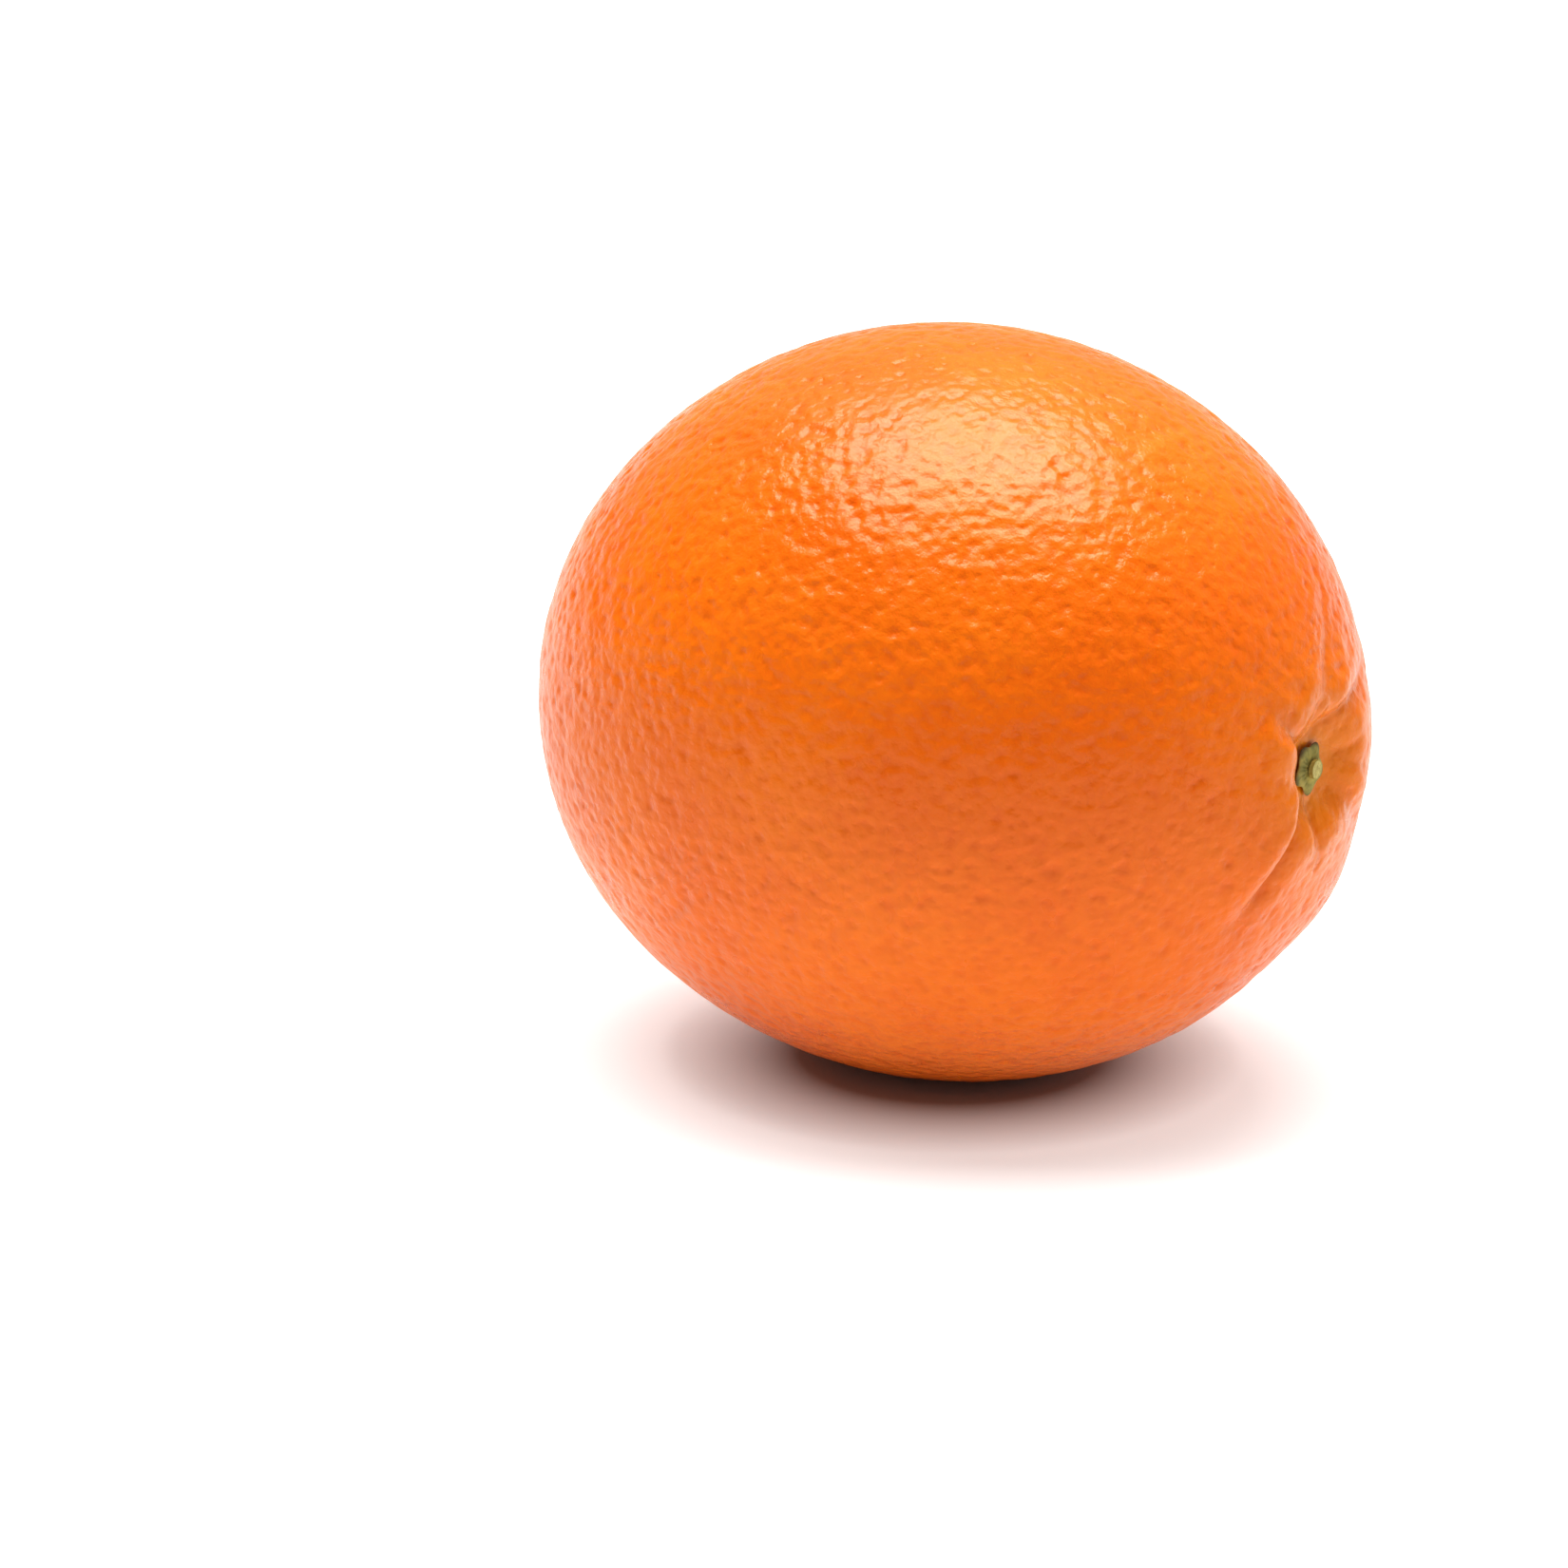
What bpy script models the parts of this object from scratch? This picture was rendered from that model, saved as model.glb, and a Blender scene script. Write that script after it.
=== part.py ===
"""A whole sweet orange lying on its side, with the green calyx and the cut stem stub in its stem end.

The part's frame is in metres, +Z up. The stem axis lies along +X, with the stem end at +X, and the origin is
on the surface that the orange rests on, under the middle of the fruit's box. The fruit has a frame of its own
too, with the same axes and its origin at the middle of the spheroid that its skin is drawn on.
"""

import math

import bmesh
import bpy
import numpy as np
from mathutils import Matrix, Vector

# Fruit: a spheroid, a little longer than wide.
GIRTH_RADIUS = 0.0390
HALF_LENGTH = 0.0444
FRUIT_SEGMENTS = 84
FRUIT_RINGS = 60
RING_CROWDING = 0.5

# Stem end: a round hollow with a nearly flat floor, inside a raised shoulder.
HOLLOW_DEPTH = 0.0028
HOLLOW_RADIUS = 0.0056
SHOULDER_HEIGHT = 0.00035
SHOULDER_RADIUS = 0.0085
SHOULDER_SPREAD = 0.0030

# Furrows run outwards from the hollow: azimuth round the stem axis and curl near the hollow in degrees
# (0 is +Y, 90 is +Z), then reach from the axis, depth and half width in metres, and how much higher the skin
# stands on the side of the larger azimuth.
FURROWS = (
    (234.0, -45.0, 0.0205, 0.00170, 0.0012, -0.00065),
    (272.0, -30.0, 0.0120, 0.00050, 0.0010, 0.00000),
    (321.0, -5.0, 0.0165, 0.00080, 0.0012, 0.00025),
    (351.0, 25.0, 0.0130, 0.00055, 0.0011, 0.00000),
    (29.0, 90.0, 0.0190, 0.00090, 0.0012, 0.00020),
    (69.0, 70.0, 0.0210, 0.00055, 0.0014, 0.00010),
    (138.0, 0.0, 0.0145, 0.00090, 0.0010, 0.00030),
    (182.0, 15.0, 0.0080, 0.00025, 0.0010, 0.00000),
)
FURROW_START = 0.0030
FURROW_ONSET = 0.0025
FURROW_FADE = 2.5
LIP_SHARE = 0.22
LIP_OFFSET = 2.4
VALLEY_POWER = 1.5
STEP_SPREAD = 4.0

# Fine wrinkles round the hollow: how many round the axis, turn in degrees and height in metres.
WRINKLES = (
    (7, 40.0, 0.00009),
    (11, 100.0, 0.00008),
    (17, 10.0, 0.00005),
)
WRINKLE_RADIUS = 0.0062
WRINKLE_SPREAD = 0.0026

# Blossom end: a shallow pit with a small round scar that stands up in it, and a ring of fine puckers.
PIT_DEPTH = 0.0008
PIT_RADIUS = 0.0042
SCAR_HEIGHT = 0.0007
SCAR_RADIUS = 0.0014
PUCKER_DEPTH = 0.00012
PUCKER_COUNT = 9
PUCKER_RADIUS = 0.0046
PUCKER_SPREAD = 0.0018

# Broad swellings and hollows of the whole fruit: direction, height in metres and spread in radians.
SWELLINGS = (
    ((0.975, -0.18, -0.12), 0.00085, 0.17),
    ((0.97, 0.26, 0.00), 0.00045, 0.16),
    ((0.90, 0.23, -0.37), 0.00090, 0.16),
    ((0.78, -0.22, -0.58), 0.00055, 0.30),
    ((0.72, 0.60, 0.10), -0.00050, 0.32),
    ((-0.62, -0.42, 0.66), -0.00045, 0.38),
    ((0.05, 0.35, 0.93), 0.00025, 0.50),
    ((0.20, -0.97, 0.10), 0.00020, 0.55),
    ((-0.55, 0.80, -0.25), 0.00040, 0.45),
    ((-0.70, -0.55, -0.40), 0.00030, 0.40),
    ((-0.10, 0.85, 0.50), -0.00025, 0.35),
)

# Rest: the fruit is pressed flat below this depth, and the flat blends into the round within the blend.
REST_PRESS = 0.00085
REST_BLEND = 0.00025

# Calyx: a five-lobed button on the floor of the hollow, with a dish in its top for the stem stub.
PIECE_GAP = 0.0003
CALYX_RADIUS = 0.00258
CALYX_LOBE = 0.00024
CALYX_LOBES = 5
CALYX_HALF_THICKNESS = 0.00045
CALYX_DISH_DEPTH = 0.00028
CALYX_DISH_SHARE = 0.55
CALYX_SEGMENTS = 40
CALYX_RINGS = 12

# Stem stub: the cut end of the stem, flaring slightly where it was snipped.
STUB_TOP_RADIUS = 0.00100
STUB_FOOT_RADIUS = 0.00090
STUB_HEIGHT = 0.00045
STUB_EDGE = 0.00010
STUB_STEPS = 32
WELD_DISTANCE = 0.00001

# Materials: linear base colour and roughness. None is metallic.
PEEL_LOOK = ((0.92, 0.27, 0.015), 0.38)
CALYX_LOOK = ((0.19, 0.22, 0.06), 0.7)
STEM_LOOK = ((0.42, 0.36, 0.14), 0.8)


def clear_scene():
    for old in list(bpy.data.objects):
        bpy.data.objects.remove(old, do_unlink=True)


def make_material(name, look):
    colour, roughness = look
    material = bpy.data.materials.new(name)
    material.use_nodes = True
    shader = material.node_tree.nodes["Principled BSDF"]
    shader.inputs["Base Color"].default_value = (*colour, 1.0)
    shader.inputs["Roughness"].default_value = roughness
    shader.inputs["Metallic"].default_value = 0.0
    material.diffuse_color = (*colour, 1.0)
    return material


def add_object(name, mesh, collection, material):
    piece = bpy.data.objects.new(name, mesh)
    collection.objects.link(piece)
    mesh.materials.append(material)
    return piece


def wrapped(angle):
    """Angles brought between -pi and pi."""
    return (angle + np.pi) % (2.0 * np.pi) - np.pi


def furrow_height(from_axis, azimuth, furrow):
    """Height of one furrow, its two raised lips and the step across it, along the skin's outward normal."""
    middle, curl, reach, depth, half_width, step = furrow
    run = np.clip(1.0 - from_axis / reach, 0.0, 1.0)
    line = np.radians(middle) + np.radians(curl) * run**3
    aside = from_axis * wrapped(azimuth - line) / half_width
    onset = np.clip((from_axis - FURROW_START) / FURROW_ONSET, 0.0, 1.0)
    strength = onset * np.sqrt(run) * np.clip(FURROW_FADE * run, 0.0, 1.0)
    valley = -1.0 / (1.0 + aside**2) ** VALLEY_POWER
    lips = LIP_SHARE * np.exp(-((np.abs(aside) - LIP_OFFSET) ** 2))
    rise = step * np.tanh(aside) * np.exp(-((aside / STEP_SPREAD) ** 2))
    return strength * (depth * (valley + lips) + rise)


def stem_end_height(from_axis, azimuth):
    """Height of the hollow, its shoulder, its wrinkles and the furrows."""
    height = -HOLLOW_DEPTH * np.exp(-((from_axis / HOLLOW_RADIUS) ** 4))
    height += SHOULDER_HEIGHT * np.exp(-(((from_axis - SHOULDER_RADIUS) / SHOULDER_SPREAD) ** 2))
    ring = np.exp(-(((from_axis - WRINKLE_RADIUS) / WRINKLE_SPREAD) ** 2))
    for count, turn, rise in WRINKLES:
        height += rise * ring * np.cos(count * azimuth + np.radians(turn))
    for furrow in FURROWS:
        height += furrow_height(from_axis, azimuth, furrow)
    return height


def blossom_end_height(from_axis, azimuth):
    """Height of the pit, the scar in it and the puckers round it."""
    height = -PIT_DEPTH * np.exp(-((from_axis / PIT_RADIUS) ** 2))
    height += SCAR_HEIGHT * np.exp(-((from_axis / SCAR_RADIUS) ** 4))
    ring = np.exp(-(((from_axis - PUCKER_RADIUS) / PUCKER_SPREAD) ** 2))
    height += PUCKER_DEPTH * ring * np.cos(PUCKER_COUNT * azimuth)
    return height


def swelling_height(direction):
    """Height of the broad swellings and hollows."""
    height = np.zeros(len(direction))
    for centre, rise, spread in SWELLINGS:
        towards = np.array(centre) / np.linalg.norm(centre)
        angle = np.arccos(np.clip(direction @ towards, -1.0, 1.0))
        height += rise * np.exp(-((angle / spread) ** 2))
    return height


def press_flat(height):
    """Heights over the rest plane: zero on the flat, and a smooth turn into the round skin."""
    blended = (height + REST_BLEND) ** 2 / (4.0 * REST_BLEND)
    return np.where(height > REST_BLEND, height, np.where(height < -REST_BLEND, 0.0, blended))


def skin_points(direction):
    """Points of the skin in the fruit's frame, one for each unit direction (an N by 3 array)."""
    semi_axes = np.array((HALF_LENGTH, GIRTH_RADIUS, GIRTH_RADIUS))
    reach = 1.0 / np.linalg.norm(direction / semi_axes, axis=1)
    point = direction * reach[:, None]
    normal = point / semi_axes**2
    normal /= np.linalg.norm(normal, axis=1)[:, None]
    from_axis = np.hypot(point[:, 1], point[:, 2])
    azimuth = np.arctan2(point[:, 2], point[:, 1])
    height = swelling_height(direction)
    height += np.where(point[:, 0] > 0.0, stem_end_height(from_axis, azimuth), 0.0)
    height += np.where(point[:, 0] < 0.0, blossom_end_height(from_axis, azimuth), 0.0)
    point = point + normal * height[:, None]
    floor = REST_PRESS - GIRTH_RADIUS
    point[:, 2] = floor + press_flat(point[:, 2] - floor)
    return point


def make_fruit(collection):
    """The fruit. Returns the middle of its spheroid in the part's frame."""
    sheet = bmesh.new()
    bmesh.ops.create_uvsphere(sheet, u_segments=FRUIT_SEGMENTS, v_segments=FRUIT_RINGS, radius=1.0)
    mesh = bpy.data.meshes.new("fruit")
    sheet.to_mesh(mesh)
    sheet.free()
    sphere = np.empty(3 * len(mesh.vertices))
    mesh.vertices.foreach_get("co", sphere)
    x, y, z = sphere.reshape(-1, 3).T
    # The sphere's poles turn from Z to X, and its rings crowd towards both ends.
    share = np.arccos(np.clip(z, -1.0, 1.0)) / np.pi
    polar = np.pi * share - 0.5 * RING_CROWDING * np.sin(2.0 * np.pi * share)
    azimuth = np.arctan2(y, x)
    direction = np.stack(
        (np.cos(polar), np.sin(polar) * np.cos(azimuth), np.sin(polar) * np.sin(azimuth)), axis=1
    )
    point = skin_points(direction)
    low, high = point.min(axis=0), point.max(axis=0)
    middle = -np.array(((low[0] + high[0]) / 2.0, (low[1] + high[1]) / 2.0, low[2]))
    mesh.vertices.foreach_set("co", (point + middle).ravel())
    mesh.update()
    mesh.shade_smooth()
    add_object("fruit", mesh, collection, make_material("orange_peel", PEEL_LOOK))
    return Vector(middle)


def make_calyx(collection, stem_seat):
    """The five-lobed button. Its own +Z is the stem axis, and z = 0 is the middle of its thickness."""
    sheet = bmesh.new()
    bmesh.ops.create_uvsphere(sheet, u_segments=CALYX_SEGMENTS, v_segments=CALYX_RINGS, radius=1.0)
    for vertex in sheet.verts:
        x, y, z = vertex.co
        share = min(1.0, math.hypot(x, y))
        angle = math.atan2(y, x)
        radius = CALYX_RADIUS + CALYX_LOBE * math.cos(CALYX_LOBES * angle)
        dish = max(0.0, 1.0 - (share / CALYX_DISH_SHARE) ** 2) if z > 0.0 else 0.0
        height = CALYX_HALF_THICKNESS * z - CALYX_DISH_DEPTH * dish**2
        vertex.co = (radius * share * math.cos(angle), radius * share * math.sin(angle), height)
    mesh = bpy.data.meshes.new("calyx")
    sheet.to_mesh(mesh)
    sheet.free()
    mesh.shade_smooth()
    calyx = add_object("calyx", mesh, collection, make_material("calyx_green", CALYX_LOOK))
    calyx.parent = stem_seat
    calyx.location = (0.0, 0.0, PIECE_GAP + CALYX_HALF_THICKNESS)


def make_stem_stub(collection, stem_seat):
    """The stub, turned round its own +Z from a profile that runs down its outer side."""
    profile = (
        (0.0, STUB_HEIGHT),
        (STUB_TOP_RADIUS - STUB_EDGE, STUB_HEIGHT),
        (STUB_TOP_RADIUS, STUB_HEIGHT - STUB_EDGE),
        (STUB_FOOT_RADIUS, STUB_EDGE),
        (STUB_FOOT_RADIUS - STUB_EDGE, 0.0),
        (0.0, 0.0),
    )
    mesh = bpy.data.meshes.new("stem_stub")
    mesh.from_pydata(
        [(radius, 0.0, height) for radius, height in profile],
        [(start, start + 1) for start in range(len(profile) - 1)],
        [],
    )
    stub = add_object("stem_stub", mesh, collection, make_material("stem_wood", STEM_LOOK))
    turn = stub.modifiers.new("turn", "SCREW")
    turn.axis = "Z"
    turn.angle = 2.0 * math.pi
    turn.steps = STUB_STEPS
    turn.render_steps = STUB_STEPS
    turn.use_merge_vertices = True
    turn.merge_threshold = WELD_DISTANCE
    stub.parent = stem_seat
    dish_floor = PIECE_GAP + 2.0 * CALYX_HALF_THICKNESS - CALYX_DISH_DEPTH
    stub.location = (0.0, 0.0, dish_floor + PIECE_GAP)


def make_stem_seat(collection, middle):
    """An empty on the floor of the hollow, its +Z along the stem axis, which is the part's +X."""
    seat = bpy.data.objects.new("stem_seat", None)
    collection.objects.link(seat)
    seat.matrix_world = Matrix.Translation(middle + Vector((HALF_LENGTH - HOLLOW_DEPTH, 0.0, 0.0)))
    seat.rotation_euler = (0.0, math.pi / 2.0, 0.0)
    return seat


def main():
    clear_scene()
    collection = bpy.data.collections.new("orange")
    bpy.context.scene.collection.children.link(collection)
    middle = make_fruit(collection)
    stem_seat = make_stem_seat(collection, middle)
    make_calyx(collection, stem_seat)
    make_stem_stub(collection, stem_seat)
    bpy.context.view_layer.update()


main()
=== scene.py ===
"""The looks of a whole sweet orange: a waxy pored peel, a dried green calyx and a cut stem stub.

It lies by itself on the white floor of a photographer's studio.

Lengths are in metres, +Z is up, and the stem axis lies along +X with the stem end at +X.
"""

import math

import bmesh
import bpy
import numpy as np
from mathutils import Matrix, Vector
from mathutils.kdtree import KDTree


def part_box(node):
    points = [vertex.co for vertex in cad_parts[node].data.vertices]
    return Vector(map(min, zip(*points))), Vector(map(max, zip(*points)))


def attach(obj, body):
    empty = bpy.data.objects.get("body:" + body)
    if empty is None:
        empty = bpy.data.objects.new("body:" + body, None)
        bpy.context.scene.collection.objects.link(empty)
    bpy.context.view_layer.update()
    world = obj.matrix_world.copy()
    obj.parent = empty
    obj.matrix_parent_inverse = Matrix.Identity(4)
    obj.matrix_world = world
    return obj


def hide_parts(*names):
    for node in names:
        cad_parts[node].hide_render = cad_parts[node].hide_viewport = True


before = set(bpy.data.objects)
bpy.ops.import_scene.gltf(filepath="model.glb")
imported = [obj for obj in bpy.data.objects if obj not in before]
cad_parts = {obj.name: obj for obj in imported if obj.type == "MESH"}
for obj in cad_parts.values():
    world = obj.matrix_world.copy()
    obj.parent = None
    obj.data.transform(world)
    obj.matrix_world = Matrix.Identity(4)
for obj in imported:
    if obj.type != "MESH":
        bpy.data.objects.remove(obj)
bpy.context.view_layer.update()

# The fruit's spheroid, as in the CAD.
GIRTH_RADIUS = 0.0390
HALF_LENGTH = 0.0444
SEMI_AXES = np.array((HALF_LENGTH, GIRTH_RADIUS, GIRTH_RADIUS))

# Stem end: a round hollow with a nearly flat floor, inside a raised shoulder.
HOLLOW_DEPTH = 0.0028
HOLLOW_RADIUS = 0.0056
SHOULDER_HEIGHT = 0.00035
SHOULDER_RADIUS = 0.0085
SHOULDER_SPREAD = 0.0030

# Furrows run outwards from the hollow: azimuth round the stem axis and curl near the hollow in degrees
# (0 is +Y, 90 is +Z), then reach from the axis, depth and half width in metres, and how much higher the skin
# stands on the side of the larger azimuth.
FURROWS = (
    (234.0, -45.0, 0.0205, 0.00170, 0.0012, -0.00065),
    (272.0, -30.0, 0.0120, 0.00050, 0.0010, 0.00000),
    (321.0, -5.0, 0.0165, 0.00080, 0.0012, 0.00025),
    (351.0, 25.0, 0.0130, 0.00055, 0.0011, 0.00000),
    (29.0, 90.0, 0.0190, 0.00090, 0.0012, 0.00020),
    (69.0, 70.0, 0.0210, 0.00055, 0.0014, 0.00010),
    (138.0, 0.0, 0.0145, 0.00090, 0.0010, 0.00030),
    (182.0, 15.0, 0.0080, 0.00025, 0.0010, 0.00000),
)
FURROW_START = 0.0030
FURROW_ONSET = 0.0025
FURROW_FADE = 2.5
LIP_SHARE = 0.22
LIP_OFFSET = 2.4
VALLEY_POWER = 1.5
STEP_SPREAD = 4.0

# Fine wrinkles round the hollow: how many round the axis, turn in degrees and height in metres.
WRINKLES = (
    (7, 40.0, 0.00009),
    (11, 100.0, 0.00008),
    (17, 10.0, 0.00005),
)
WRINKLE_RADIUS = 0.0062
WRINKLE_SPREAD = 0.0026

# Blossom end: a shallow pit with a small round scar that stands up in it, and a ring of fine puckers.
PIT_DEPTH = 0.0008
PIT_RADIUS = 0.0042
SCAR_HEIGHT = 0.0007
SCAR_RADIUS = 0.0014
PUCKER_DEPTH = 0.00012
PUCKER_COUNT = 9
PUCKER_RADIUS = 0.0046
PUCKER_SPREAD = 0.0018

# Broad swellings and hollows of the whole fruit: direction, height in metres and spread in radians.
SWELLINGS = (
    ((0.975, -0.18, -0.12), 0.00085, 0.17),
    ((0.97, 0.26, 0.00), 0.00045, 0.16),
    ((0.90, 0.23, -0.37), 0.00090, 0.16),
    ((0.78, -0.22, -0.58), 0.00055, 0.30),
    ((0.72, 0.60, 0.10), -0.00050, 0.32),
    ((-0.62, -0.42, 0.66), -0.00045, 0.38),
    ((0.05, 0.35, 0.93), 0.00025, 0.50),
    ((0.20, -0.97, 0.10), 0.00020, 0.55),
    ((-0.55, 0.80, -0.25), 0.00040, 0.45),
    ((-0.70, -0.55, -0.40), 0.00030, 0.40),
    ((-0.10, 0.85, 0.50), -0.00025, 0.35),
)

# Rest: how far the underside is pressed in, and the height over the rest plane within which the flat turns
# into the round skin.
REST_PRESS = 0.00085
REST_BLEND = 0.00025

# The peel's mesh is a cube's grid blown up to a sphere. Each side of the cube has a chart on the sheet of
# charts, with a margin round it, and points that agree to this many digits are one point.
SKIN_GRID = 240
CHART_COLUMNS = 3
CHART_ROWS = 2
CHART_MARGIN = 0.006
SAME_POINT_DIGITS = 7

# Peel relief: oil-gland pits of two kinds (spacing, radius, depth), their smallest and largest size as shares
# of that, how unevenly they lie, and a wider shallow skirt round each pit. They lie along a spiral that turns
# by the golden angle from one pit to the next.
PIT_SEED = 11
DEEP_PITS = (0.0030, 0.00080, 0.00011)
FINE_PITS = (0.00145, 0.00062, 0.00008)
PIT_SIZES = (0.7, 1.25)
PIT_JITTER = 0.36
PIT_SKIRT = 1.9
SKIRT_SHARE = 0.35
GOLDEN_ANGLE = np.pi * (3.0 - np.sqrt(5.0))

# Soft cobbling: waves in all directions, their length, its smallest and largest share, and their height.
COBBLE_WAVES = 60
COBBLE_LENGTH = 0.0040
COBBLE_LENGTHS = (0.7, 1.5)
COBBLE_HEIGHT = 0.0000035

# Near the stem axis, at both ends, the skin is drawn tight and has no pits. They reach their full depth over
# this width.
TIGHT_RADIUS = 0.003
TIGHT_WIDTH = 0.006

# How far from the stem axis the stem end and the scar have their own colours, and how deep a furrow is where
# its painted shade is full.
STEM_COLOUR_RADIUS = 0.0095
SCAR_COLOUR_RADIUS = 0.0018
FURROW_SHADE_DEPTH = 0.0010

# Patterns in the materials: features per metre, detail, and the range of the noise that is spread out.
NOISE_ROUGHNESS = 0.55
PEEL_CLOUDS = (38.0, 2.0, 0.35, 0.65)
PEEL_BLOTCHES = (420.0, 4.0, 0.42, 0.68)
PEEL_WAX = (150.0, 3.0, 0.30, 0.70)
CALYX_FLECKS = (700.0, 4.0, 0.38, 0.62)
STUB_FIBRES = (2500.0, 3.0, 0.35, 0.65)

# The peel's least and greatest roughness.
PEEL_ROUGHNESS = (0.25, 0.36)

# Bumps too fine for the meshes: features per metre, detail, and height in metres.
PORE_SCALE = 850.0
PORE_GRAIN = (1600.0, 2.0)
PORE_GRAIN_SHARE = 0.5
PORE_DEPTH = 0.00022
CALYX_FUZZ = (3000.0, 3.0)
CALYX_FUZZ_DEPTH = 0.00010
STUB_FUZZ = (4000.0, 3.0)
STUB_FUZZ_DEPTH = 0.00008

# How strongly each special colour covers the one below it; the furrow and pit colours are painted shade.
BLOTCH_SHARE = 0.22
STEM_SHARE = 0.75
FURROW_SHADE_SHARE = 0.40
PIT_SHADE_SHARE = 0.22
CALYX_CENTRE_SHARE = 0.8

# Colours, linear red, green and blue.
PEEL_DEEP = (0.79, 0.146, 0.0012)
PEEL_LIGHT = (0.85, 0.190, 0.0020)
PEEL_BLOTCH = (0.73, 0.115, 0.0010)
# Painted shade in the pits.
PEEL_PIT_SHADE = (0.66, 0.088, 0.0008)
PEEL_STEM = (0.80, 0.275, 0.0060)
# Painted shade in the furrows.
PEEL_FURROW_SHADE = (0.52, 0.105, 0.0025)
SCAR_BROWN = (0.12, 0.055, 0.014)
CALYX_GREEN = (0.400, 0.340, 0.085)
CALYX_DARK = (0.210, 0.195, 0.050)
CALYX_PALE = (0.660, 0.560, 0.160)
CALYX_BROWN = (0.110, 0.070, 0.020)
STUB_PALE = (0.66, 0.58, 0.22)
STUB_TAN = (0.46, 0.37, 0.13)
SPECULAR_TINT = (1.0, 0.93, 0.80)

# Calyx: five uneven sepals with wrinkles along their length (how many round the axis, height), and a dish for
# the stem stub.
CALYX_SEED = 5
CALYX_GRID = (180, 48)
CALYX_RADIUS = 0.00258
SEPALS = 5
SEPAL_REACH = 0.13
SEPAL_UNEVEN = 0.045
SEPAL_UNEVEN_COUNTS = (1, 2, 3, 7, 11)
CALYX_HALF_THICKNESS = 0.00045
CALYX_DISH_DEPTH = 0.00028
CALYX_DISH_SHARE = 0.55
CALYX_WRINKLES = ((23, 0.00005), (37, 0.00003), (9, 0.00005))
CALYX_WRINKLE_TWIST = 2.0
CALYX_EDGE_SHARE = 0.90
CALYX_EDGE_WIDTH = 0.2

# Stem stub: bark round a cut face that is rough and a little hollow. Its outline has waves (how many round
# the axis, turn in radians, height as a share of the radius), and its side has fine ribs.
STUB_GRID = (120, 44)
STUB_RADIUS = 0.00095
STUB_HEIGHT = 0.00045
STUB_FACE_SHARE = 0.4
STUB_SIDE_SHARE = 0.3
STUB_WAVES = ((2, 0.6, 0.05), (7, 0.0, 0.025))
STUB_RIBS = 13
STUB_RIB_DEPTH = 0.00005
STUB_ROUGH = 0.00003
STUB_ROUGH_WAVES = 9
STUB_ROUGH_TWIST = 3.0
STUB_HOLLOW = 0.00012
STUB_BARK_SHARE = 0.86
STUB_BARK_WIDTH = 0.12

# Points of a calyx or a stub that are nearer than this are one point.
WELD_DISTANCE = 0.000001

# Camera: where it stands round the fruit in degrees, its distance from the middle of the fruit, and how far
# right of the picture's middle and above it the fruit sits, as shares of the picture's width.
CAMERA_AZIMUTH = 32.5
CAMERA_ELEVATION = 16.0
CAMERA_DISTANCE = 0.604
CAMERA_LENS = 134.0
SENSOR_WIDTH = 36.0
FRUIT_RIGHT = 0.106
FRUIT_ABOVE = 0.053

# Studio: one softbox overhead, a surround that is brighter towards +Y than in front of the fruit, and a white
# band at the horizon. The picture has the contrast of a printed photograph.
PICTURE_GAMMA = 0.87
SOFTBOX_SIZE = (0.85, 0.62)
SOFTBOX_PLACE = (-0.095, 0.070, 0.90)
SOFTBOX_POWER = 16.5
SURROUND_FRONT = 0.20
SURROUND_BACK = 0.55
SURROUND_HEADINGS = (-0.2, 0.6)
HORIZON_WHITE = 0.90
HORIZON_HEIGHTS = (0.09, 0.14)

# The floor is white and it glows, but not under the fruit: between these distances from the fruit's resting
# spot the glow rises to its full strength. Far away, where the softbox reaches less, it glows more.
FLOOR_SIZE = 8.0
FLOOR_WHITE = 0.55
GLOW_START = 0.016
GLOW_FULL = 0.031
FLOOR_GLOW = 0.56
FAR_START = 0.30
FAR_FULL = 1.50
FAR_GLOW = 0.60


def wrapped(angle):
    """Angles brought between -pi and pi."""
    return (angle + np.pi) % (2.0 * np.pi) - np.pi


def furrow_height(from_axis, azimuth, furrow):
    """Height of one furrow, its two raised lips and the step across it, along the skin's outward normal."""
    middle, curl, reach, depth, half_width, step = furrow
    run = np.clip(1.0 - from_axis / reach, 0.0, 1.0)
    line = np.radians(middle) + np.radians(curl) * run**3
    aside = from_axis * wrapped(azimuth - line) / half_width
    onset = np.clip((from_axis - FURROW_START) / FURROW_ONSET, 0.0, 1.0)
    strength = onset * np.sqrt(run) * np.clip(FURROW_FADE * run, 0.0, 1.0)
    valley = -1.0 / (1.0 + aside**2) ** VALLEY_POWER
    lips = LIP_SHARE * np.exp(-((np.abs(aside) - LIP_OFFSET) ** 2))
    rise = step * np.tanh(aside) * np.exp(-((aside / STEP_SPREAD) ** 2))
    return strength * (depth * (valley + lips) + rise)


def stem_end_height(from_axis, azimuth):
    """Height of the hollow, its shoulder, its wrinkles and the furrows."""
    height = -HOLLOW_DEPTH * np.exp(-((from_axis / HOLLOW_RADIUS) ** 4))
    height += SHOULDER_HEIGHT * np.exp(-(((from_axis - SHOULDER_RADIUS) / SHOULDER_SPREAD) ** 2))
    ring = np.exp(-(((from_axis - WRINKLE_RADIUS) / WRINKLE_SPREAD) ** 2))
    for count, turn, rise in WRINKLES:
        height += rise * ring * np.cos(count * azimuth + np.radians(turn))
    for furrow in FURROWS:
        height += furrow_height(from_axis, azimuth, furrow)
    return height


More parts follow.
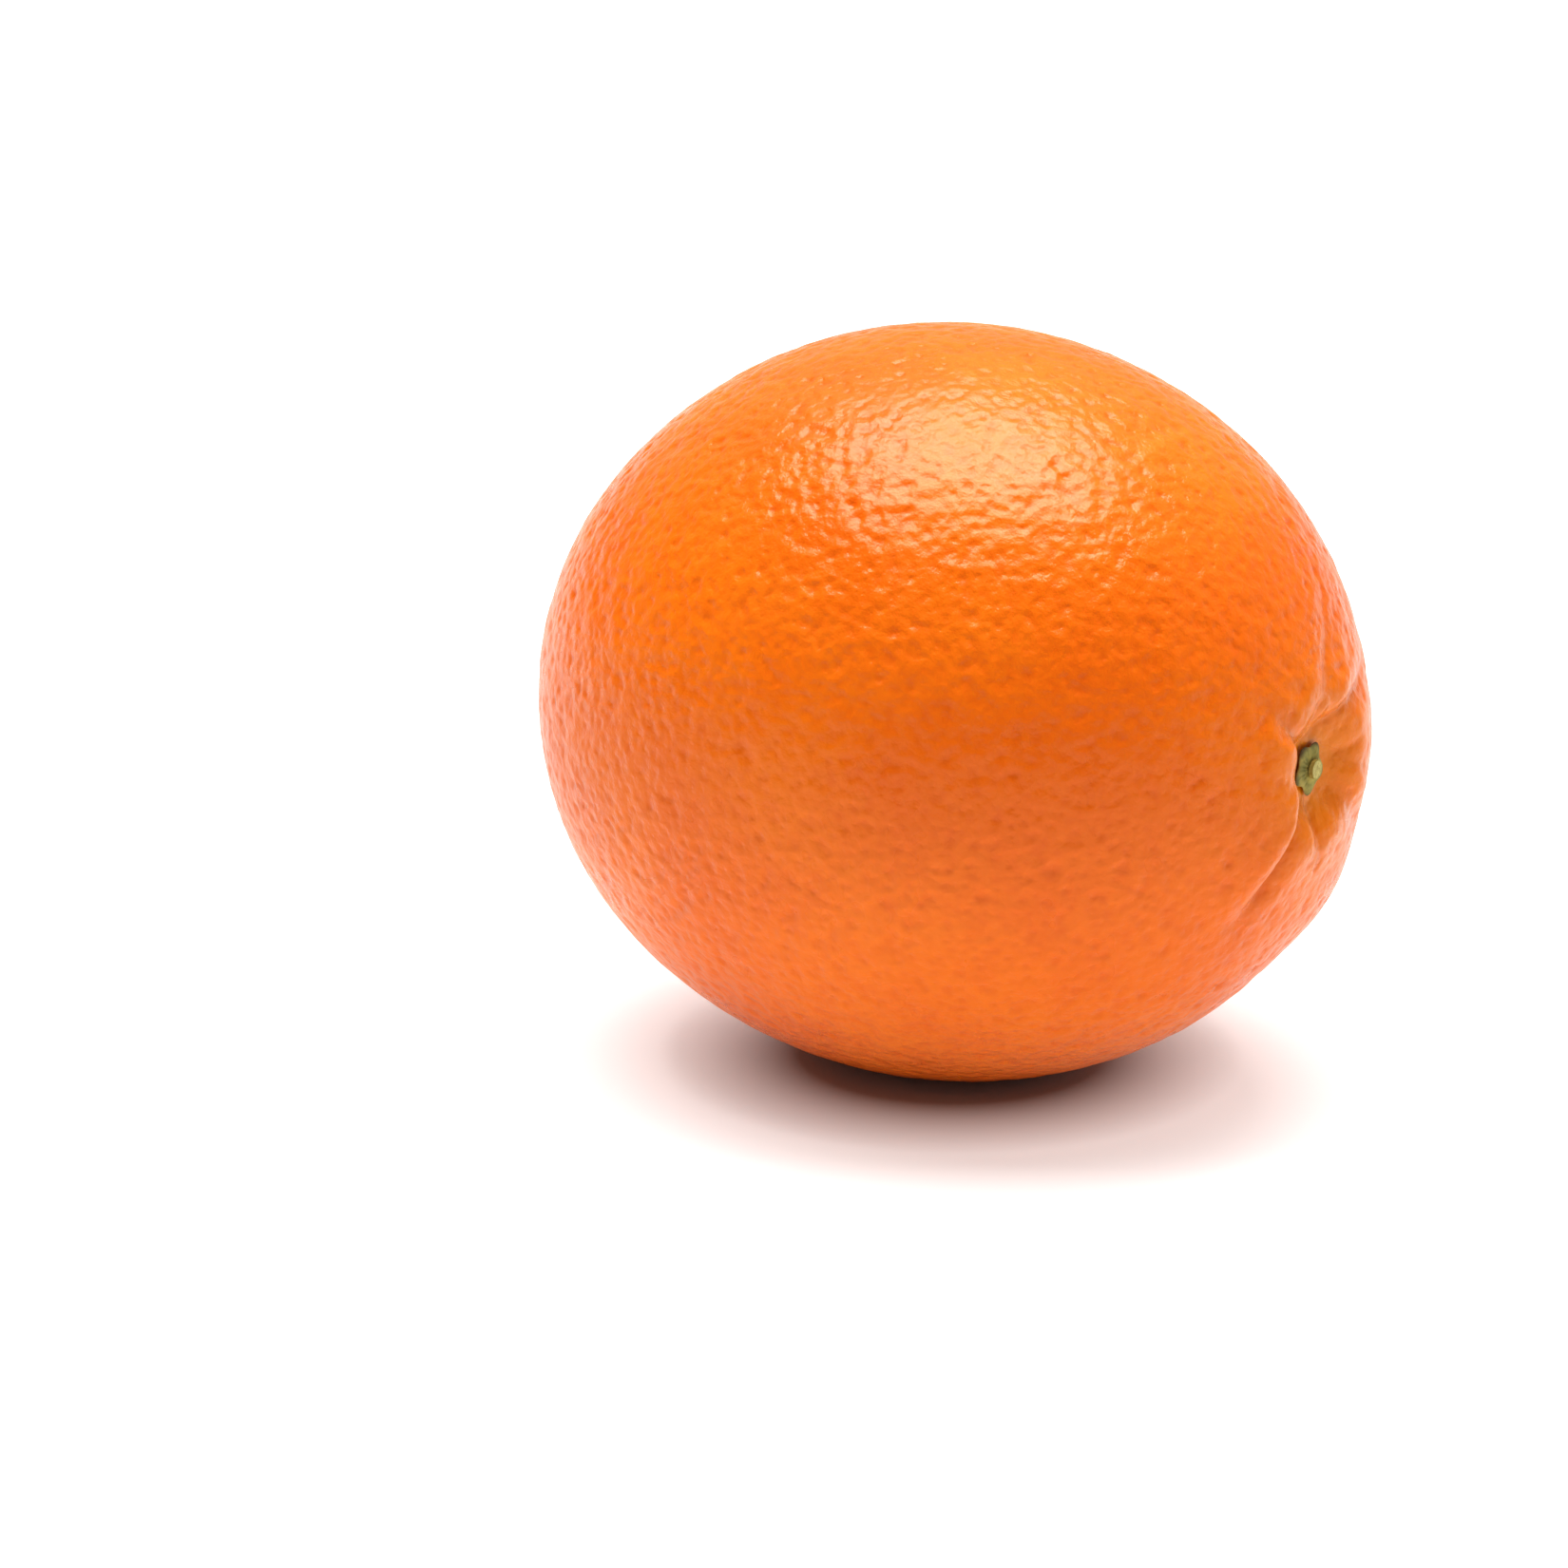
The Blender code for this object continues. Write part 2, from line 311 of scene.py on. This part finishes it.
def blossom_end_height(from_axis, azimuth):
    """Height of the pit, the scar in it and the puckers round it."""
    height = -PIT_DEPTH * np.exp(-((from_axis / PIT_RADIUS) ** 2))
    height += SCAR_HEIGHT * np.exp(-((from_axis / SCAR_RADIUS) ** 4))
    ring = np.exp(-(((from_axis - PUCKER_RADIUS) / PUCKER_SPREAD) ** 2))
    height += PUCKER_DEPTH * ring * np.cos(PUCKER_COUNT * azimuth)
    return height


def swelling_height(direction):
    """Height of the broad swellings and hollows."""
    height = np.zeros(len(direction))
    for centre, rise, spread in SWELLINGS:
        towards = np.array(centre) / np.linalg.norm(centre)
        angle = np.arccos(np.clip(direction @ towards, -1.0, 1.0))
        height += rise * np.exp(-((angle / spread) ** 2))
    return height


def press_flat(height):
    """Heights over the rest plane: zero on the flat, and a smooth turn into the round skin."""
    blended = (height + REST_BLEND) ** 2 / (4.0 * REST_BLEND)
    return np.where(height > REST_BLEND, height, np.where(height < -REST_BLEND, 0.0, blended))


def on_spheroid(direction):
    """The fruit's spheroid in each of the directions (an N by 3 array)."""
    return direction / np.linalg.norm(direction / SEMI_AXES, axis=1)[:, None]


def round_axis(point):
    """Distance from the stem axis and azimuth round it, for each point."""
    return np.hypot(point[:, 1], point[:, 2]), np.arctan2(point[:, 2], point[:, 1])


def skin_points(direction, relief):
    """Points of the skin in the fruit's frame, one for each unit direction, raised by relief."""
    point = on_spheroid(direction)
    normal = point / SEMI_AXES**2
    normal /= np.linalg.norm(normal, axis=1)[:, None]
    from_axis, azimuth = round_axis(point)
    height = relief + swelling_height(direction)
    height += np.where(point[:, 0] > 0.0, stem_end_height(from_axis, azimuth), 0.0)
    height += np.where(point[:, 0] < 0.0, blossom_end_height(from_axis, azimuth), 0.0)
    point = point + normal * height[:, None]
    floor = REST_PRESS - GIRTH_RADIUS
    point[:, 2] = floor + press_flat(point[:, 2] - floor)
    return point


def cube_sphere(grid):
    """Unit directions, quads and each quad corner's place on the sheet of charts."""
    ramp = np.linspace(-1.0, 1.0, grid + 1)
    across, along = np.meshgrid(ramp, ramp, indexing="ij")
    flat = np.tan(np.stack((across.ravel(), along.ravel()), axis=1) * np.pi / 4.0)
    corner = np.arange(grid)[:, None] * (grid + 1) + np.arange(grid)[None, :]
    corner = corner.ravel()
    square = np.stack((corner, corner + grid + 1, corner + grid + 2, corner + 1), axis=1)
    chart = (np.stack((across.ravel(), along.ravel()), axis=1) + 1.0) / 2.0
    chart = CHART_MARGIN + chart * (1.0 - 2.0 * CHART_MARGIN)
    sheet = np.array((CHART_COLUMNS, CHART_ROWS))
    points, quads, places = [], [], []
    for side in range(6):
        axis = side // 2
        sign = 1.0 if side % 2 == 0 else -1.0
        first, second = (axis + 1) % 3, (axis + 2) % 3
        block = np.empty((len(flat), 3))
        block[:, axis] = sign
        block[:, first] = flat[:, 0] * sign
        block[:, second] = flat[:, 1]
        points.append(block / np.linalg.norm(block, axis=1)[:, None])
        quads.append(square + side * len(flat))
        place = (chart + np.array((side % CHART_COLUMNS, side // CHART_COLUMNS))) / sheet
        places.append(place[square].reshape(-1, 2))
    points, quads = np.concatenate(points), np.concatenate(quads)
    _, first_seen, where = np.unique(
        np.round(points, SAME_POINT_DIGITS), axis=0, return_index=True, return_inverse=True
    )
    return points[first_seen], where.ravel()[quads], np.concatenate(places)


def scattered_directions(spacing, random):
    """Unit directions about spacing apart on the fruit, on a jittered spiral."""
    mean_radius = (HALF_LENGTH * GIRTH_RADIUS**2) ** (1.0 / 3.0)
    count = int(4.0 * np.pi * mean_radius**2 / spacing**2)
    step = np.arange(count) + 0.5
    height = 1.0 - 2.0 * step / count
    turn = step * GOLDEN_ANGLE
    out = np.sqrt(1.0 - height**2)
    direction = np.stack((height, out * np.cos(turn), out * np.sin(turn)), axis=1)
    direction += random.normal(0.0, PIT_JITTER * spacing / mean_radius, direction.shape)
    return direction / np.linalg.norm(direction, axis=1)[:, None]


def skin_relief(point, random):
    """Height of the pits and the soft cobbling at each point, and how deep in a pit it lies, from 0 to 1,
    which sets the pits' painted shade.
    """
    tree = KDTree(len(point))
    # Points in a shuffled order, since a tree of sorted points is slow to balance.
    for index in random.permutation(len(point)).tolist():
        tree.insert(point[index], index)
    tree.balance()
    height, inside = np.zeros(len(point)), np.zeros(len(point))
    for spacing, radius, depth in (DEEP_PITS, FINE_PITS):
        centres = on_spheroid(scattered_directions(spacing, random))
        sizes = random.uniform(*PIT_SIZES, len(centres))
        for centre, size in zip(centres.tolist(), sizes.tolist()):
            found = tree.find_range(centre, PIT_SKIRT * radius * size)
            index = np.fromiter((hit[1] for hit in found), np.int64, len(found))
            away = np.fromiter((hit[2] for hit in found), float, len(found)) / (radius * size)
            bowl = np.clip(1.0 - away**2, 0.0, 1.0) ** 2
            skirt = np.clip(1.0 - (away / PIT_SKIRT) ** 2, 0.0, 1.0) ** 2
            height[index] -= depth * size * ((1.0 - SKIRT_SHARE) * bowl + SKIRT_SHARE * skirt)
            inside[index] += depth * size * bowl
    for _ in range(COBBLE_WAVES):
        heading = random.normal(size=3)
        length = COBBLE_LENGTH * random.uniform(*COBBLE_LENGTHS)
        heading *= 2.0 * np.pi / (length * np.linalg.norm(heading))
        height += COBBLE_HEIGHT * np.cos(point @ heading + random.uniform(0.0, 2.0 * np.pi))
    deepest = DEEP_PITS[2]
    return height, np.clip(inside / deepest, 0.0, 1.0)


def make_mesh(name, points, faces, smooth=True):
    """A mesh object from arrays of points and of equally long faces."""
    mesh = bpy.data.meshes.new(name)
    mesh.vertices.add(len(points))
    mesh.vertices.foreach_set("co", np.asarray(points, np.float32).ravel())
    mesh.loops.add(faces.size)
    mesh.loops.foreach_set("vertex_index", faces.astype(np.int32).ravel())
    mesh.polygons.add(len(faces))
    mesh.polygons.foreach_set("loop_start", np.arange(0, faces.size, faces.shape[1], dtype=np.int32))
    mesh.update(calc_edges=True)
    mesh.validate()
    if smooth:
        mesh.shade_smooth()
    piece = bpy.data.objects.new(name, mesh)
    bpy.context.scene.collection.objects.link(piece)
    return piece


def add_attribute(piece, name, values):
    """One number for each point of a piece, which its material reads by name."""
    attribute = piece.data.attributes.new(name, "FLOAT", "POINT")
    attribute.data.foreach_set("value", np.asarray(values, np.float32))


def make_peel():
    """The peel, fitted to the place of the CAD's fruit, and the middle of its spheroid."""
    random = np.random.default_rng(PIT_SEED)
    direction, quads, places = cube_sphere(SKIN_GRID)
    smooth_point = on_spheroid(direction)
    relief, inside = skin_relief(smooth_point, random)
    from_axis, azimuth = round_axis(smooth_point)
    stem_side = smooth_point[:, 0] > 0.0
    loose = np.clip((from_axis - TIGHT_RADIUS) / TIGHT_WIDTH, 0.0, 1.0)
    point = skin_points(direction, relief * loose)
    low, high = (np.array(corner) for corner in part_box("fruit"))
    own_low, own_high = point.min(axis=0), point.max(axis=0)
    middle = (low + high - own_low - own_high) / 2.0
    middle[2] = low[2] - own_low[2]
    peel = make_mesh("peel", point + middle, quads)
    chart = peel.data.uv_layers.new(name="OFBake")
    chart.data.foreach_set("uv", places.astype(np.float32).ravel())
    # The furrows' depth sets their painted shade, and the pits' depth sets theirs.
    valley = sum(np.minimum(furrow_height(from_axis, azimuth, furrow), 0.0) for furrow in FURROWS)
    stem_end = np.exp(-((from_axis / STEM_COLOUR_RADIUS) ** 2))
    scar = np.exp(-((from_axis / SCAR_COLOUR_RADIUS) ** 4))
    # The pit attribute carries the pits' painted shade.
    add_attribute(peel, "pit", inside * loose)
    add_attribute(peel, "stem_end", np.where(stem_side, stem_end, 0.0))
    add_attribute(peel, "furrow", np.where(stem_side, np.clip(-valley / FURROW_SHADE_DEPTH, 0.0, 1.0), 0.0))
    add_attribute(peel, "scar", np.where(stem_side, 0.0, scar))
    return peel, Vector(middle)


def polar_grid(turns, rings):
    """For each point of a closed round sheet, its angle and its share along the profile, and the quads."""
    share, angle = np.meshgrid(
        np.linspace(0.0, 1.0, rings + 1), np.arange(turns) * 2.0 * np.pi / turns, indexing="ij"
    )
    corner = np.arange(rings)[:, None] * turns + np.arange(turns)[None, :]
    beside = np.arange(rings)[:, None] * turns + (np.arange(turns)[None, :] + 1) % turns
    quads = np.stack((corner, beside, beside + turns, corner + turns), axis=2).reshape(-1, 4)
    return angle.ravel(), share.ravel(), quads


def round_piece(name, radius, height, angle, quads, node):
    """A piece round the stem axis, its top towards +X, brought to the size and place of a CAD node."""
    point = np.stack((height, radius * np.sin(angle), -radius * np.cos(angle)), axis=1)
    own_low, own_high = point.min(axis=0), point.max(axis=0)
    low, high = (np.array(corner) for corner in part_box(node))
    point = low + (point - own_low) / (own_high - own_low) * (high - low)
    piece = make_mesh(name, point, quads)
    sheet = bmesh.new()
    sheet.from_mesh(piece.data)
    bmesh.ops.remove_doubles(sheet, verts=sheet.verts, dist=WELD_DISTANCE)
    sheet.to_mesh(piece.data)
    sheet.free()
    return piece


def from_own_axis(piece):
    """How far each point of a round piece is from the piece's own axis."""
    point = np.empty(3 * len(piece.data.vertices))
    piece.data.vertices.foreach_get("co", point)
    point = point.reshape(-1, 3)
    middle = (point.min(axis=0) + point.max(axis=0)) / 2.0
    return np.hypot(point[:, 1] - middle[1], point[:, 2] - middle[2])


def make_calyx():
    """The calyx: a thin button with five uneven sepals."""
    random = np.random.default_rng(CALYX_SEED)
    angle, share, quads = polar_grid(*CALYX_GRID)
    out, up = np.sin(np.pi * share), np.cos(np.pi * share)
    reach = 1.0 + SEPAL_REACH * np.cos(SEPALS * angle) * out
    for count in SEPAL_UNEVEN_COUNTS:
        reach += SEPAL_UNEVEN / count * np.cos(count * angle + random.uniform(0.0, 2.0 * np.pi))
    height = CALYX_HALF_THICKNESS * up
    top = np.where(up > 0.0, 1.0, 0.0)
    dish = np.clip(1.0 - (out / CALYX_DISH_SHARE) ** 2, 0.0, 1.0) ** 2
    height -= CALYX_DISH_DEPTH * dish * top
    for count, rise in CALYX_WRINKLES:
        turn = random.uniform(0.0, 2.0 * np.pi)
        wave = np.cos(count * angle + turn + CALYX_WRINKLE_TWIST * out)
        height += rise * top * np.sin(np.pi * out) * wave
    calyx = round_piece("calyx_button", CALYX_RADIUS * out * reach, height, angle, quads, "calyx")
    away = from_own_axis(calyx) / CALYX_RADIUS
    add_attribute(calyx, "centre", np.clip(1.0 - (away / CALYX_DISH_SHARE) ** 4, 0.0, 1.0))
    add_attribute(calyx, "edge", np.clip((away - CALYX_EDGE_SHARE) / CALYX_EDGE_WIDTH, 0.0, 1.0))
    return calyx


def make_stub():
    """The stem stub. Its profile runs over the cut face, down the side and under the foot."""
    angle, share, quads = polar_grid(*STUB_GRID)
    foot = STUB_FACE_SHARE + STUB_SIDE_SHARE
    out = np.where(share < STUB_FACE_SHARE, share / STUB_FACE_SHARE, 1.0)
    out = np.where(share > foot, (1.0 - share) / (1.0 - foot), out)
    down = np.clip((share - STUB_FACE_SHARE) / STUB_SIDE_SHARE, 0.0, 1.0)
    outline = 1.0 + sum(rise * np.cos(count * angle + turn) for count, turn, rise in STUB_WAVES)
    radius = STUB_RADIUS * out * outline
    radius -= STUB_RIB_DEPTH * np.sin(np.pi * down) * (0.5 + 0.5 * np.cos(STUB_RIBS * angle))
    height = STUB_HEIGHT * (1.0 - down)
    cut = np.where(share < STUB_FACE_SHARE, 1.0, 0.0)
    height -= cut * STUB_HOLLOW * (1.0 - out**2)
    wave = np.cos(STUB_ROUGH_WAVES * angle + STUB_ROUGH_TWIST * out)
    height += cut * STUB_ROUGH * wave * np.sin(np.pi * out)
    stub = round_piece("cut_stem", radius, height, angle, quads, "stem_stub")
    away = from_own_axis(stub) / STUB_RADIUS
    add_attribute(stub, "bark", np.clip((away - STUB_BARK_SHARE) / STUB_BARK_WIDTH, 0.0, 1.0))
    return stub


def shader_node(tree, kind, values=(), **settings):
    """A new node, with its settings and the values of its inputs by name or number."""
    node = tree.nodes.new("ShaderNode" + kind)
    for name, value in settings.items():
        setattr(node, name, value)
    for name, value in dict(values).items():
        node.inputs[name].default_value = value
    return node


def new_material(name, values):
    """A material with its Principled shader's own values set, and no link yet."""
    material = bpy.data.materials.new(name)
    material.use_nodes = True
    tree = material.node_tree
    shader = tree.nodes["Principled BSDF"]
    for socket, value in values.items():
        shader.inputs[socket].default_value = value
    return material, tree, shader


def own_place(tree):
    """The place of each point in the piece's own coordinates."""
    where = tree.nodes.get("where") or shader_node(tree, "TexCoord")
    where.name = "where"
    return where.outputs["Object"]


def noise(tree, scale, detail):
    """Noise over the piece's own coordinates, in features per metre."""
    texture = shader_node(
        tree, "TexNoise", {"Scale": scale, "Detail": detail, "Roughness": NOISE_ROUGHNESS}
    )
    tree.links.new(own_place(tree), texture.inputs["Vector"])
    return texture.outputs["Fac"]


def spread_out(tree, value, low, high, to_low=0.0, to_high=1.0):
    """A value brought from one range to another, with its ends held."""
    ranger = shader_node(
        tree, "MapRange", {"From Min": low, "From Max": high, "To Min": to_low, "To Max": to_high}
    )
    tree.links.new(value, ranger.inputs["Value"])
    return ranger.outputs["Result"]


def pattern(tree, scale, detail, low, high, to_low=0.0, to_high=1.0):
    """Noise with one range of its values brought to another."""
    return spread_out(tree, noise(tree, scale, detail), low, high, to_low, to_high)


def combine(tree, operation, first, second):
    """The sum or the larger one of two linked values, as the operation says."""
    both = shader_node(tree, "Math", operation=operation)
    tree.links.new(first, both.inputs[0])
    tree.links.new(second, both.inputs[1])
    return both.outputs["Value"]


def times(tree, value, factor):
    """A linked value multiplied by a number."""
    product = shader_node(tree, "Math", {1: factor}, operation="MULTIPLY")
    tree.links.new(value, product.inputs[0])
    return product.outputs["Value"]


def attribute(tree, name):
    """The number that add_attribute gave each point."""
    return shader_node(tree, "Attribute", attribute_name=name).outputs["Fac"]


def blend_colours(tree, factor, first, second):
    """The mix of two colours, each a linked socket or three numbers."""
    mix = shader_node(tree, "Mix", data_type="RGBA")
    tree.links.new(factor, mix.inputs["Factor"])
    for socket, colour in ((mix.inputs[6], first), (mix.inputs[7], second)):
        if isinstance(colour, tuple):
            socket.default_value = (*colour, 1.0)
        else:
            tree.links.new(colour, socket)
    return mix.outputs[2]


def add_bump(tree, shader, height, distance):
    """Bumps on a material, from a linked height and the distance in metres that a height of 1 stands for."""
    bump = shader_node(tree, "Bump", {"Strength": 1.0, "Distance": distance})
    tree.links.new(height, bump.inputs["Height"])
    tree.links.new(bump.outputs["Normal"], shader.inputs["Normal"])


def peel_material():
    """Waxy peel in uneven orange, yellower at the stem end, with painted shade that darkens the furrows and
    the pits.
    """
    material, tree, shader = new_material("orange_peel", {
        "Coat Weight": 0.10,
        "Coat Roughness": 0.16,
        "Subsurface Weight": 0.10,
        "Subsurface Radius": (0.0030, 0.0010, 0.0003),
        "Subsurface Scale": 1.0,
        "IOR": 1.45,
        "Specular IOR Level": 0.36,
        "Specular Tint": (*SPECULAR_TINT, 1.0),
    })
    colour = blend_colours(tree, pattern(tree, *PEEL_CLOUDS), PEEL_DEEP, PEEL_LIGHT)
    blotches = times(tree, pattern(tree, *PEEL_BLOTCHES), BLOTCH_SHARE)
    colour = blend_colours(tree, blotches, colour, PEEL_BLOTCH)
    # The stem end is yellower; the furrows and the pits get painted shade, darker the deeper they lie.
    for name, share, own_colour in (
        ("stem_end", STEM_SHARE, PEEL_STEM),
        ("furrow", FURROW_SHADE_SHARE, PEEL_FURROW_SHADE),
        ("pit", PIT_SHADE_SHARE, PEEL_PIT_SHADE),
    ):
        colour = blend_colours(tree, times(tree, attribute(tree, name), share), colour, own_colour)
    colour = blend_colours(tree, attribute(tree, "scar"), colour, SCAR_BROWN)
    tree.links.new(colour, shader.inputs["Base Color"])
    tree.links.new(pattern(tree, *PEEL_WAX, *PEEL_ROUGHNESS), shader.inputs["Roughness"])
    cells = shader_node(tree, "TexVoronoi", {"Scale": PORE_SCALE}, feature="SMOOTH_F1")
    tree.links.new(own_place(tree), cells.inputs["Vector"])
    grain = times(tree, noise(tree, *PORE_GRAIN), PORE_GRAIN_SHARE)
    add_bump(tree, shader, combine(tree, "ADD", cells.outputs["Distance"], grain), PORE_DEPTH)
    return material


def calyx_material():
    """Dull grey-green sepals with brown edges, paler round the stem stub."""
    material, tree, shader = new_material("calyx_green", {"Roughness": 0.75})
    colour = blend_colours(tree, pattern(tree, *CALYX_FLECKS), CALYX_DARK, CALYX_GREEN)
    centre = times(tree, attribute(tree, "centre"), CALYX_CENTRE_SHARE)
    colour = blend_colours(tree, centre, colour, CALYX_PALE)
    colour = blend_colours(tree, attribute(tree, "edge"), colour, CALYX_BROWN)
    tree.links.new(colour, shader.inputs["Base Color"])
    add_bump(tree, shader, noise(tree, *CALYX_FUZZ), CALYX_FUZZ_DEPTH)
    return material


def stub_material():
    """Pale cut wood inside green bark."""
    material, tree, shader = new_material("stem_wood", {"Roughness": 0.8})
    colour = blend_colours(tree, pattern(tree, *STUB_FIBRES), STUB_PALE, STUB_TAN)
    colour = blend_colours(tree, attribute(tree, "bark"), colour, CALYX_GREEN)
    tree.links.new(colour, shader.inputs["Base Color"])
    add_bump(tree, shader, noise(tree, *STUB_FUZZ), STUB_FUZZ_DEPTH)
    return material


def make_camera(scene, middle):
    """A long lens on the stem end's side, a little above the fruit, with the fruit right of the middle."""
    azimuth, elevation = math.radians(CAMERA_AZIMUTH), math.radians(CAMERA_ELEVATION)
    back = Vector((
        math.sin(azimuth) * math.cos(elevation),
        -math.cos(azimuth) * math.cos(elevation),
        math.sin(elevation),
    ))
    right = Vector((math.cos(azimuth), math.sin(azimuth), 0.0))
    up = back.cross(right)
    picture_width = CAMERA_DISTANCE * SENSOR_WIDTH / CAMERA_LENS
    aim = middle - (FRUIT_RIGHT * right + FRUIT_ABOVE * up) * picture_width
    lens = bpy.data.cameras.new("camera")
    lens.lens = CAMERA_LENS
    lens.sensor_width = SENSOR_WIDTH
    camera = bpy.data.objects.new("camera", lens)
    camera.location = middle + CAMERA_DISTANCE * back
    camera.rotation_euler = (aim - camera.location).to_track_quat("-Z", "Y").to_euler()
    scene.collection.objects.link(camera)
    scene.camera = camera


def make_surround(scene):
    """A white surround, which is brighter at the horizon and on one side."""
    world = bpy.data.worlds.new("surround")
    world.use_nodes = True
    tree = world.node_tree
    background = tree.nodes["Background"]
    background.inputs["Color"].default_value = (1.0, 1.0, 1.0, 1.0)
    heading = shader_node(tree, "SeparateXYZ")
    tree.links.new(shader_node(tree, "TexCoord").outputs["Generated"], heading.inputs["Vector"])
    walls = spread_out(tree, heading.outputs["Y"], *SURROUND_HEADINGS, SURROUND_FRONT, SURROUND_BACK)
    horizon = spread_out(tree, heading.outputs["Z"], *HORIZON_HEIGHTS, HORIZON_WHITE, 0.0)
    tree.links.new(combine(tree, "MAXIMUM", walls, horizon), background.inputs["Strength"])
    scene.world = world


def make_floor():
    """A white glowing floor, which stays out of the visual model."""
    material, tree, shader = new_material("floor_white", {
        "Base Color": (FLOOR_WHITE, FLOOR_WHITE, FLOOR_WHITE, 1.0),
        "Roughness": 0.9,
        "Specular IOR Level": 0.1,
        "Emission Color": (1.0, 1.0, 1.0, 1.0),
    })
    away = shader_node(tree, "VectorMath", operation="LENGTH")
    tree.links.new(shader_node(tree, "TexCoord").outputs["Object"], away.inputs[0])
    near = spread_out(tree, away.outputs["Value"], GLOW_START, GLOW_FULL, 0.0, FLOOR_GLOW)
    far = spread_out(tree, away.outputs["Value"], FAR_START, FAR_FULL, 0.0, FAR_GLOW)
    tree.links.new(combine(tree, "ADD", near, far), shader.inputs["Emission Strength"])
    corner = FLOOR_SIZE / 2.0
    floor = make_mesh(
        "floor",
        [(-corner, -corner, 0.0), (corner, -corner, 0.0), (corner, corner, 0.0), (-corner, corner, 0.0)],
        np.array(((0, 1, 2, 3),)),
        smooth=False,
    )
    floor.data.materials.append(material)


def make_softbox(scene):
    """One softbox overhead, turned with the camera."""
    lamp = bpy.data.lights.new("softbox", "AREA")
    lamp.shape = "RECTANGLE"
    lamp.size, lamp.size_y = SOFTBOX_SIZE
    lamp.energy = SOFTBOX_POWER
    softbox = bpy.data.objects.new("softbox", lamp)
    softbox.location = SOFTBOX_PLACE
    softbox.rotation_euler = (0.0, 0.0, math.radians(CAMERA_AZIMUTH))
    scene.collection.objects.link(softbox)


def make_studio(scene):
    """The floor, the surround and the softbox, seen with the contrast of a printed photograph."""
    scene.view_settings.view_transform = "Standard"
    scene.view_settings.gamma = PICTURE_GAMMA
    make_surround(scene)
    make_floor()
    make_softbox(scene)


def main():
    """Makes the three pieces of the part, the studio and the camera."""
    scene = bpy.context.scene
    peel, middle = make_peel()
    peel.data.materials.append(peel_material())
    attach(peel, "root")
    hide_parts("fruit")
    calyx = make_calyx()
    calyx.data.materials.append(calyx_material())
    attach(calyx, "root")
    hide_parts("calyx")
    stub = make_stub()
    stub.data.materials.append(stub_material())
    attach(stub, "root")
    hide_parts("stem_stub")
    make_studio(scene)
    make_camera(scene, middle)


main()
